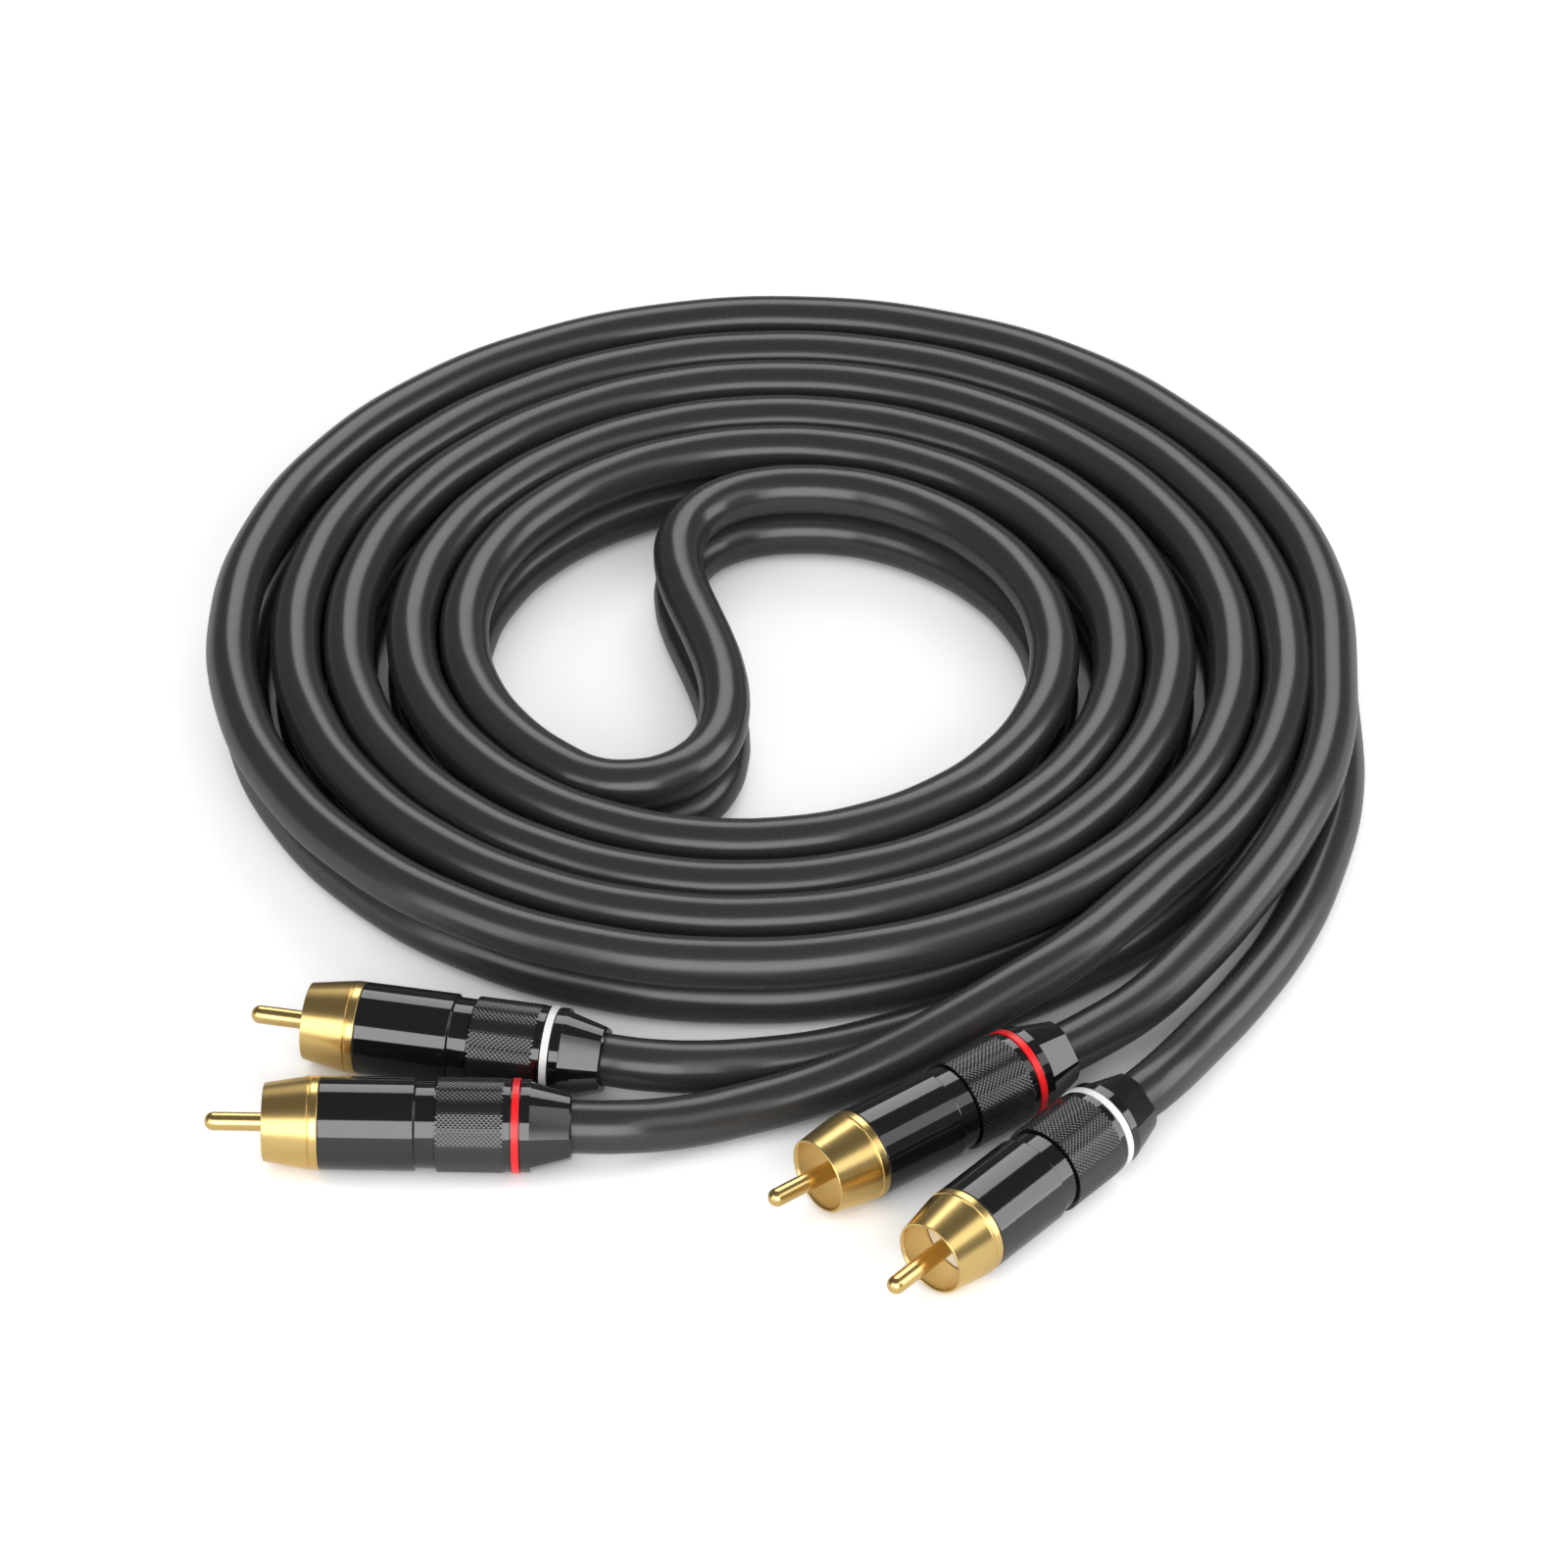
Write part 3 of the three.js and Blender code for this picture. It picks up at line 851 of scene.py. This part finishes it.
def knurl_tree(material):
    """Geometry nodes that set small pyramids in staggered rows round a grip."""
    tree = bpy.data.node_groups.new("knurl_points", "GeometryNodeTree")
    for name, kind in (
        ("Start", "NodeSocketFloat"),
        ("Length", "NodeSocketFloat"),
        ("Groove radius", "NodeSocketFloat"),
        ("Depth", "NodeSocketFloat"),
        ("Around", "NodeSocketInt"),
        ("Rows", "NodeSocketInt"),
    ):
        tree.interface.new_socket(name, in_out="INPUT", socket_type=kind)
    tree.interface.new_socket("Geometry", in_out="OUTPUT", socket_type="NodeSocketGeometry")
    given = add_node(tree, "NodeGroupInput").outputs

    def maths(operation, a, b=0.0):
        return add_node(tree, "ShaderNodeMath", {0: a, 1: b}, operation=operation).outputs[0]

    index = add_node(tree, "GeometryNodeInputIndex").outputs[0]
    row = maths("FLOOR", maths("DIVIDE", index, given["Around"]))
    column = maths("MODULO", index, given["Around"])
    stagger = maths("MULTIPLY", maths("MODULO", row, 2.0), 0.5)
    spacing = maths("DIVIDE", given["Length"], maths("ADD", given["Rows"], 1.0))
    along = maths("ADD", given["Start"], maths("MULTIPLY", maths("ADD", row, 1.0), spacing))
    step = maths("DIVIDE", 2 * math.pi, given["Around"])
    angle = maths("MULTIPLY", maths("ADD", column, stagger), step)
    radius = given["Groove radius"]
    across = maths("MULTIPLY", maths("MULTIPLY", maths("SINE", angle), radius), -1.0)
    up = maths("MULTIPLY", maths("COSINE", angle), radius)
    position = add_node(tree, "ShaderNodeCombineXYZ", {"X": along, "Y": across, "Z": up})
    count = maths("MULTIPLY", given["Around"], given["Rows"])
    points = add_node(tree, "GeometryNodePoints", {"Count": count, "Position": position.outputs[0]})
    pyramid = add_node(
        tree,
        "GeometryNodeMeshCone",
        {"Vertices": 4, "Radius Top": 0.0, "Radius Bottom": 1.0, "Depth": 1.0},
        fill_type="NONE",
    )
    turn = add_node(tree, "ShaderNodeCombineXYZ", {"X": angle})
    half_width = maths("MULTIPLY", maths("MULTIPLY", step, 0.5), radius)
    scale = add_node(
        tree, "ShaderNodeCombineXYZ", {"X": spacing, "Y": half_width, "Z": given["Depth"]}
    )
    placed = add_node(
        tree,
        "GeometryNodeInstanceOnPoints",
        {
            "Points": points.outputs[0],
            "Instance": pyramid.outputs["Mesh"],
            "Rotation": turn.outputs[0],
            "Scale": scale.outputs[0],
        },
    )
    solid = add_node(tree, "GeometryNodeRealizeInstances", {"Geometry": placed.outputs[0]})
    joined = add_node(
        tree, "GeometryNodeMergeByDistance", {"Geometry": solid.outputs[0], "Distance": 0.02 * MM}
    )
    dressed = add_node(
        tree, "GeometryNodeSetMaterial", {"Geometry": joined.outputs[0], "Material": material}
    )
    add_node(tree, "NodeGroupOutput", {"Geometry": dressed.outputs[0]})
    return tree


def knurl_mesh(plug, at, material):
    """The knurl's points as a plain mesh, in the plug's own frame."""
    tree = knurl_tree(material)
    carrier = bpy.data.objects.new("knurl_carrier", bpy.data.meshes.new("knurl_carrier"))
    bpy.context.scene.collection.objects.link(carrier)
    modifier = carrier.modifiers.new("knurl", "NODES")
    modifier.node_group = tree
    # Plain at each end of the grip
    margin = 0.15 * MM
    values = {
        "Start": at["cap"] + margin,
        "Length": plug.knurl_length - 2 * margin,
        "Groove radius": plug.barrel_diameter / 2 + plug.knurl_rise - plug.knurl_depth,
        "Depth": plug.knurl_depth,
        "Around": plug.knurl_around,
        "Rows": plug.knurl_rows,
    }
    for item in tree.interface.items_tree:
        if item.in_out == "INPUT":
            modifier[item.identifier] = values[item.name]
    evaluated = carrier.evaluated_get(bpy.context.evaluated_depsgraph_get())
    mesh = bpy.data.meshes.new_from_object(evaluated)
    carrier.modifiers.clear()
    bpy.data.objects.remove(carrier)
    return mesh


class CABLE_OT_caps(bpy.types.Operator):
    """Makes the rear caps: a fine diamond knurl, two plain bands, and a tapered tail with flats"""

    bl_idname = "cable.caps"
    bl_label = "Rear caps"

    def execute(self, context):
        plug, cord = context.scene.cable_plug, context.scene.cable_cord
        at = distances(plug)
        lacquer = black_lacquer(plug.lacquer)
        # The knurl's lighter black is painted light in its grooves
        knurled = black_knurl(plug.knurl_black_painted_light)
        knurl = knurl_mesh(plug, at, knurled)
        barrel = plug.barrel_diameter / 2
        core = barrel + plug.knurl_rise - plug.knurl_depth
        band, tail = barrel - plug.band_depth, plug.tail_diameter / 2
        groove = barrel + plug.ring_rise - plug.ring_thickness - plug.fit
        recess, hole = plug.spigot_diameter / 2 + plug.fit, cord.diameter / 2 + plug.fit / 3
        before_ring, after_ring = at["ring"] - plug.ring_seat, at["ring_end"] + plug.ring_seat
        front = at["cap"] + plug.seat
        body = [
            (front, core, 0.1 * MM),
            (at["band"], core, 0),
            (at["band"], band, 0),
            (before_ring, band, 0.1 * MM),
            (before_ring, groove, 0),
            (after_ring, groove, 0),
            (after_ring, band, 0.1 * MM),
            (at["taper"], band, 0),
        ]
        hollow = [
            (at["tail_end"], hole, 0.1 * MM),
            (at["taper"], hole, 0),
            (at["taper"], plug.cap_bore / 2, 0),
            (at["spigot_end"] + plug.seat, plug.cap_bore / 2, 0),
            (at["spigot_end"] + plug.seat, recess, 0),
            (front, recess, 0),
        ]
        tail_steps = 6
        slope = (band - tail) / plug.taper_length
        # The tail's rear edge is chamfered by this
        rear_edge = 0.25 * MM
        tail_rings = []
        for i in range(tail_steps + 1):
            reach = (plug.taper_length - rear_edge) * i / tail_steps
            tail_rings.append((at["taper"] + reach, band - slope * reach))
        tail_rings.append((at["tail_end"], tail - rear_edge))
        outline = [tuple(p) for p in rounded(body, closed=False)]
        first_flat = len(outline)
        last_flat = first_flat + len(tail_rings) - 1
        outline += tail_rings + [tuple(p) for p in rounded(hollow, closed=False)]
        # Points across a flat, and round the cone between two flats
        on_flat, on_round = 14, 12
        sides = (on_flat + on_round) * plug.flats

        def flat_ring(index):
            """The (angle, radius) pairs of a ring of the tail, where flats are cut into a cone."""
            cone = outline[index][1]
            apothem = cone - plug.flat_depth
            edge = math.acos(apothem / cone)
            half = math.pi / plug.flats
            spare = 2 * (half - edge)
            flat = []
            for i in range(on_flat + 1):
                share = 2 * i / on_flat - 1
                cut = apothem / math.cos(edge * share) + plug.flat_crown * (1 - share * share)
                flat.append((edge * share, cut))
            round_part = [(edge + spare * i / on_round, cone) for i in range(1, on_round)]
            middles = [(2 * k + 1) * half for k in range(plug.flats)]
            side = flat + round_part
            return [(middle + angle, radius) for middle in middles for angle, radius in side]

        def circle_ring(index):
            """A round ring with its points where the flats' corners are."""
            return [(angle, outline[index][1]) for angle, _ in flat_ring(first_flat)]

        def ring_of(index):
            return flat_ring(index) if first_flat <= index <= last_flat else circle_ring(index)

        for name in PLUGS:
            place = plug_place(name, plug)
            mesh = turned(name + "_cap", outline, place, sides, ring_of=ring_of, sharp=12)
            mesh.materials.append(lacquer)
            mesh.materials.append(knurled)
            shape = bmesh.new()
            shape.from_mesh(mesh)
            own_faces = len(shape.faces)
            grip = knurl.copy()
            grip.transform(place)
            shape.from_mesh(grip)
            shape.faces.ensure_lookup_table()
            for face in shape.faces[own_faces:]:
                face.material_index = 1
                face.smooth = False
            shape.to_mesh(mesh)
            shape.free()
            bpy.data.meshes.remove(grip)
            piece = mesh_piece(name + "_cap", mesh, [])
            settle(piece, "black_cap", f"{name}_rear_cap")
        bpy.data.meshes.remove(knurl)
        return {"FINISHED"}


class CABLE_OT_rings(bpy.types.Operator):
    """Makes the colour rings, red for the right channel and white for the left"""

    bl_idname = "cable.rings"
    bl_label = "Colour rings"

    def execute(self, context):
        plug = context.scene.cable_plug
        at = distances(plug)
        finishes = {
            "red": moulded_plastic("red_nylon", plug.red, 0.3),
            "white": moulded_plastic("white_nylon", plug.white, 0.3),
        }
        outside = plug.barrel_diameter / 2 + plug.ring_rise
        inside = outside - plug.ring_thickness
        outline = rounded(
            [
                (at["ring"], inside, 0),
                (at["ring"], outside, 0.08 * MM),
                (at["ring_end"], outside, 0.08 * MM),
                (at["ring_end"], inside, 0),
            ]
        )
        for name in PLUGS:
            channel = name.split("_")[1]
            mesh = turned(name + "_ring", outline, plug_place(name, plug), sides=96)
            piece = mesh_piece(name + "_ring", mesh, [finishes[channel]])
            settle(piece, f"{channel}_ring", f"{name}_colour_ring")
        return {"FINISHED"}


class CABLE_OT_cord_ends(bpy.types.Operator):
    """Makes the stripped cord ends inside the plugs: the core and the copper in the pin's cup"""

    bl_idname = "cable.cord_ends"
    bl_label = "Stripped cord ends"

    def execute(self, context):
        plug, cord = context.scene.cable_plug, context.scene.cable_cord
        at = distances(plug)
        core = moulded_plastic("polyethylene_core", to_linear("#dfe3e2"), 0.45)
        copper = copper_strand()
        wire_start = at["inner"] + plug.pin_cup_length - plug.pin_cup_depth + plug.seat
        core_start = wire_start + cord.conductor_length
        core_end = at["clamp"] - 0.1 * MM
        wire, inner = cord.conductor_diameter / 2, cord.core_diameter / 2
        outline = rounded(
            [
                (wire_start, 0, 0),
                (wire_start, wire, 0.15 * MM),
                (core_start, wire, 0),
                (core_start, inner, 0.2 * MM),
                (core_end, inner, 0),
                (core_end, 0, 0),
            ],
            closed=False,
        )
        copper_end = core_start - 0.01 * MM
        for name in PLUGS:
            place = plug_place(name, plug)
            mesh = turned(name + "_stripped_end", outline, place, sides=32, closed=False)
            piece = mesh_piece(name + "_stripped_end", mesh, [core, copper])
            to_plug = place.inverted()
            for face in mesh.polygons:
                face.material_index = 1 if (to_plug @ face.center).x < copper_end else 0
            settle(piece, "cord_jacket", f"{name}_cord_end")
        return {"FINISHED"}


class CABLE_OT_inner_brass(bpy.types.Operator):
    """Gives the ground sleeves and cord clamps inside the plugs their bare brass"""

    bl_idname = "cable.inner_brass"
    bl_label = "Sleeves and clamps"

    def execute(self, context):
        brass = bare_brass()
        for name in PLUGS:
            for kind in ("ground_sleeve", "cord_clamp"):
                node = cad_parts[f"{name}_{kind}"]
                node.data.materials.clear()
                node.data.materials.append(brass)
        return {"FINISHED"}


def soft_box(name, target, azimuth, elevation, width, height, radiance):
    """A rectangular lamp that faces the target, and that the camera doesn't see."""
    a, e = math.radians(azimuth), math.radians(elevation)
    away = Vector((math.sin(a) * math.cos(e), -math.cos(a) * math.cos(e), math.sin(e)))
    data = bpy.data.lights.new(name, "AREA")
    data.shape = "RECTANGLE"
    data.size, data.size_y = width, height
    data.energy = radiance * math.pi * width * height
    lamp = bpy.data.objects.new(name, data)
    lamp.location = target + away * SOFT_BOX_DISTANCE
    lamp.rotation_mode = "QUATERNION"
    lamp.rotation_quaternion = (-away).to_track_quat("-Z", "Y")
    bpy.context.scene.collection.objects.link(lamp)
    lamp.visible_camera = False


class CABLE_OT_stage(bpy.types.Operator):
    """Makes the table, the soft boxes, the white surroundings and the camera"""

    bl_idname = "cable.stage"
    bl_label = "Stage"

    def execute(self, context):
        stage = context.scene.cable_stage
        target = spiral_centre() + Vector((*VIEW_OFFSET, 0)) * MM
        target.z = 0
        self.make_camera(context, stage, target)
        self.make_table(stage, target)
        self.make_surroundings(context)
        for name, settings in SOFT_BOXES.items():
            soft_box(name, target, *settings)
        context.scene.view_settings.view_transform = "Standard"
        return {"FINISHED"}

    def make_camera(self, context, stage, target):
        data = bpy.data.cameras.new("camera")
        data.lens = stage.lens
        data.sensor_width = 36
        data.clip_start, data.clip_end = 0.05, 50
        camera = bpy.data.objects.new("camera", data)
        e = stage.camera_elevation
        away = Vector((0, -math.cos(e), math.sin(e)))
        camera.location = target + away * stage.camera_distance
        camera.rotation_mode = "QUATERNION"
        camera.rotation_quaternion = (-away).to_track_quat("-Z", "Y")
        context.scene.collection.objects.link(camera)
        context.scene.camera = camera

    def make_table(self, stage, target):
        """A wide pale table. What the camera sees is lifted to white, and keeps its shadows, with
        painted shade where the object hems it in.
        """
        # The lift fades out close to the object, where its share of open sky falls: painted shade
        # in the gaps under and between the pieces
        reach, least_sky, full_sky, full_lift = 40 * MM, 0.1, 0.5, 0.46
        material, tree = new_material("pale_laminate")
        place = add_node(tree, "ShaderNodeTexCoord").outputs["Object"]
        tone = mottled(tree, place, stage.floor, cloud=50 * MM, spread=0.004)
        matt = add_node(tree, "ShaderNodeBsdfDiffuse", {"Color": tone.outputs["Result"]})
        rays = add_node(tree, "ShaderNodeLightPath")
        # Painted shade: occlusion takes the lift away in the narrow gaps between cords and plugs
        open_sky_painted_shade = add_node(tree, "ShaderNodeAmbientOcclusion", {"Distance": reach}, samples=8)
        lift = add_node(
            tree,
            "ShaderNodeMapRange",
            {
                "Value": open_sky_painted_shade.outputs["AO"],
                "From Min": least_sky,
                "From Max": full_sky,
                "To Max": full_lift,
            },
        )
        seen = add_node(
            tree,
            "ShaderNodeMath",
            {0: rays.outputs["Is Camera Ray"], 1: lift.outputs["Result"]},
            operation="MULTIPLY",
        )
        glow = add_node(tree, "ShaderNodeEmission", {"Strength": seen.outputs[0]})
        both = add_node(tree, "ShaderNodeAddShader", {0: matt.outputs[0], 1: glow.outputs[0]})
        close_material(tree, both)
        shape = bmesh.new()
        bmesh.ops.create_circle(shape, cap_ends=True, radius=TABLE_RADIUS, segments=96)
        shape.transform(Matrix.Translation(target))
        mesh = bpy.data.meshes.new("table")
        shape.to_mesh(mesh)
        shape.free()
        table = mesh_piece("table", mesh, [material])

    def make_surroundings(self, context):
        """White to the camera and near the horizon, with a dim studio above for the gloss black."""
        # Heights between which the light falls from white to the studio's, as the sine of the angle
        white_up_to, studio_from, studio_light = 0.02, 0.1, 0.16
        world = bpy.data.worlds.new("white_surroundings")
        world.use_nodes = True
        tree = world.node_tree
        tree.nodes.clear()
        rays = add_node(tree, "ShaderNodeLightPath")
        direction = add_node(tree, "ShaderNodeTexCoord").outputs["Generated"]
        height = add_node(tree, "ShaderNodeSeparateXYZ", {"Vector": direction}).outputs["Z"]
        dim = add_node(
            tree,
            "ShaderNodeMapRange",
            {
                "Value": height,
                "From Min": white_up_to,
                "From Max": studio_from,
                "To Min": 1.0,
                "To Max": studio_light,
            },
        )
        strength = add_node(
            tree,
            "ShaderNodeMix",
            {"Factor": rays.outputs["Is Camera Ray"], "A": dim.outputs["Result"], "B": 1.0},
            data_type="FLOAT",
        )
        backdrop = add_node(tree, "ShaderNodeBackground", {"Strength": strength.outputs["Result"]})
        add_node(tree, "ShaderNodeOutputWorld", {"Surface": backdrop.outputs[0]})
        context.scene.world = world


class CABLE_PT_panel(bpy.types.Panel):
    """Shows the cable's settings, and a button for each of its operators"""

    bl_idname = "CABLE_PT_panel"
    bl_label = "Audio Cable"
    bl_space_type = "VIEW_3D"
    bl_region_type = "UI"
    bl_category = "Audio Cable"

    def draw(self, context):
        layout = self.layout
        for group in SETTINGS:
            settings = getattr(context.scene, group)
            box = layout.box()
            for name in settings.__annotations__:
                box.prop(settings, name)
        for operator in OPERATORS:
            layout.operator(operator.bl_idname)


SETTINGS = {"cable_cord": CordSettings, "cable_plug": PlugSettings, "cable_stage": StageSettings}
OPERATORS = [
    CABLE_OT_stage,
    CABLE_OT_pins,
    CABLE_OT_shells,
    CABLE_OT_insulators,
    CABLE_OT_barrels,
    CABLE_OT_caps,
    CABLE_OT_rings,
    CABLE_OT_cord_ends,
    CABLE_OT_inner_brass,
    CABLE_OT_cords,
]


def register():
    for cls in (*SETTINGS.values(), *OPERATORS, CABLE_PT_panel):
        bpy.utils.register_class(cls)
    for name, group in SETTINGS.items():
        setattr(bpy.types.Scene, name, PointerProperty(type=group))


def unregister():
    for name in SETTINGS:
        delattr(bpy.types.Scene, name)
    for cls in (CABLE_PT_panel, *OPERATORS[::-1], *SETTINGS.values()):
        bpy.utils.unregister_class(cls)


def main():
    register()
    bpy.ops.cable.stage()
    bpy.ops.cable.pins()
    bpy.ops.cable.shells()
    bpy.ops.cable.insulators()
    bpy.ops.cable.barrels()
    bpy.ops.cable.caps()
    bpy.ops.cable.rings()
    bpy.ops.cable.cord_ends()
    bpy.ops.cable.inner_brass()
    bpy.ops.cable.cords()


if __name__ == "__main__":
    main()
